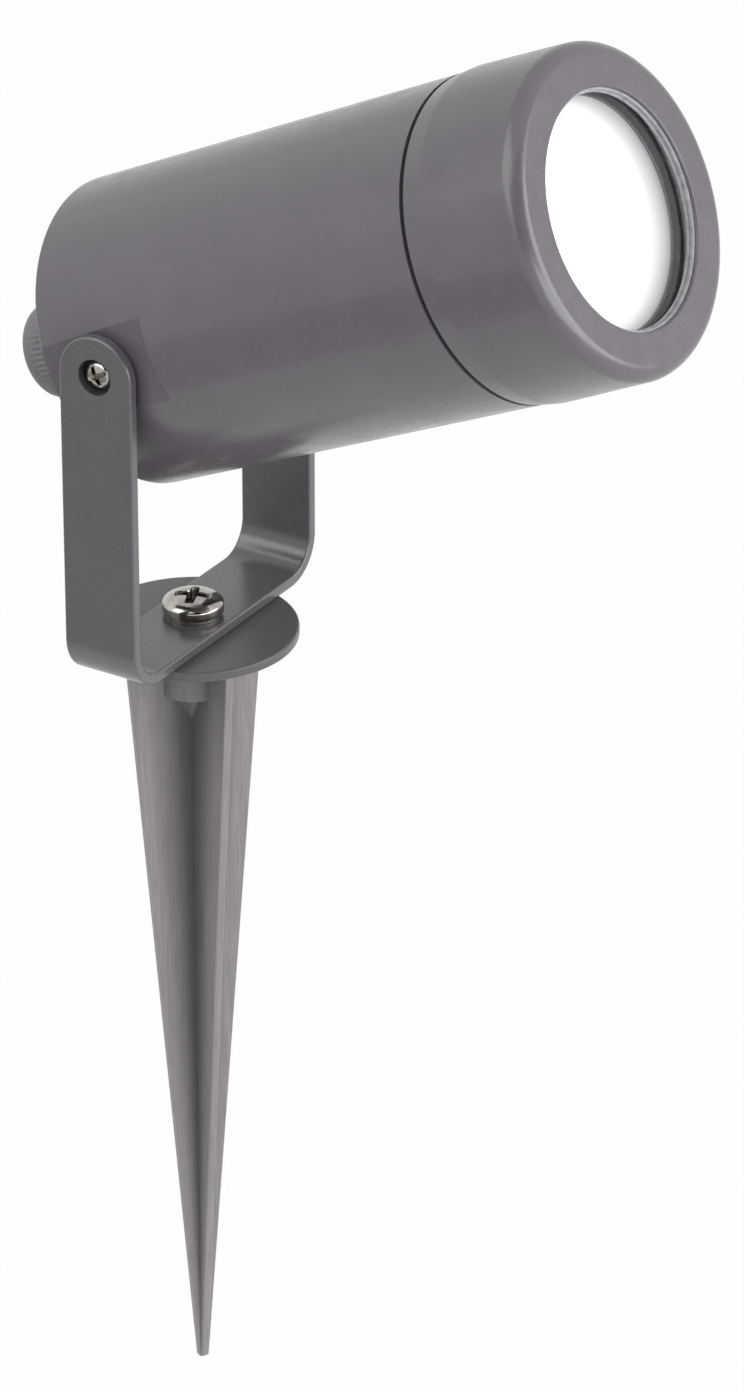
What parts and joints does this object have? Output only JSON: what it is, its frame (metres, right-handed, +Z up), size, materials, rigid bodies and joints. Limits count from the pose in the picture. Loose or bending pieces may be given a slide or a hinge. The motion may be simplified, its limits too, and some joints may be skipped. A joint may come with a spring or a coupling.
{
  "type": "garden spike spotlight",
  "caption": "Outdoor spotlight on a ground spike: a round head with a screwed bezel and glass tilts in a U-shaped yoke that swivels on the spike's disc.",
  "frame": {"origin": "on the spike's axis at the underside of its disc, which rests on the ground", "axes": "+Z up along the spike, lamp shining towards -Y and 25 degrees up, tilt axis along X"},
  "size_m": [0.0622, 0.1364, 0.296],
  "materials": {
    "spike_plastic": "moulded, faint streaks",
    "yoke_plastic": "moulded, satin",
    "head_paint": "die cast, satin grey powder coat all over",
    "gland_plastic": "moulded",
    "screw_steel": "bright nickel plate",
    "seal_rubber": "matt",
    "gasket_silicone": "translucent silicone",
    "clear_glass": "clear, toughened",
    "lamp_diffuser": "opal",
    "lamp_white": "white",
    "holder_ceramic": "glazed steatite",
    "bracket_steel": "zinc plate",
    "contact_brass": "bright",
    "terminal_plastic": "moulded",
    "lead_sleeve": "silicone sleeving"
  },
  "bodies": {
    "spike": {"ground_spike": "spike_plastic", "base_screw": "screw_steel"},
    "yoke": {"yoke": "yoke_plastic"},
    "head": {"housing": "head_paint", "pivot_screws": "screw_steel", "earth_screw": "screw_steel", "bezel_seal": "seal_rubber", "gland_washer": "seal_rubber", "gland_body": "gland_plastic", "gland_locknut": "gland_plastic", "lampholder": "holder_ceramic", "holder_contacts": "contact_brass", "holder_bracket": "bracket_steel", "bracket_screws": "screw_steel", "holder_screws": "screw_steel", "terminal_block": "terminal_plastic", "terminal_screws": "contact_brass", "lamp_leads": "lead_sleeve"},
    "lamp": {"lamp_shell": "lamp_white", "lamp_base": "lamp_white", "lamp_lens": "lamp_diffuser", "lamp_pins": "contact_brass"},
    "glass_pack": {"front_glass": "clear_glass", "glass_gasket": "gasket_silicone"},
    "bezel": {"bezel": "head_paint"},
    "gland_seal": {"gland_seal": "seal_rubber"},
    "gland_nut": {"gland_nut": "gland_plastic"}
  },
  "joints": [
    {"name": "yoke_swivel", "type": "hinge", "parent": "spike", "child": "yoke", "pos_m": [0, 0, 0.002], "axis": [0, 0, 1], "continuous": true},
    {"name": "head_tilt", "type": "hinge", "parent": "yoke", "child": "head", "pos_m": [0, 0, 0.0652], "axis": [-1, 0, 0], "range_deg": [-55, 95]},
    {"name": "glass_travel", "type": "slide", "parent": "head", "child": "glass_pack", "axis": [0, -0.9063, 0.4226], "range_m": [0, 0.006]},
    {"name": "bezel_turn", "type": "hinge", "parent": "glass_pack", "child": "bezel", "pos_m": [0, -0.07613, 0.1007], "axis": [0, -0.9063, 0.4226], "range_deg": [0, 1080]},
    {"name": "gland_seal_travel", "type": "slide", "parent": "head", "child": "gland_seal", "axis": [0, 0.9063, -0.4226], "range_m": [0, 0.0045]},
    {"name": "gland_nut_turn", "type": "hinge", "parent": "gland_seal", "child": "gland_nut", "pos_m": [0, 0.02266, 0.05464], "axis": [0, 0.9063, -0.4226], "range_deg": [0, 1080]},
    {"name": "lamp_turn", "type": "hinge", "parent": "head", "child": "lamp", "pos_m": [0, -0.04169, 0.08464], "axis": [0, -0.9063, 0.4226], "range_deg": [0, 30]}
  ],
  "couplings": [
    {"joint": "glass_travel", "follows": "bezel_turn", "m_per_rad": 0.00031831},
    {"joint": "gland_seal_travel", "follows": "gland_nut_turn", "m_per_rad": 0.00023873}
  ]
}
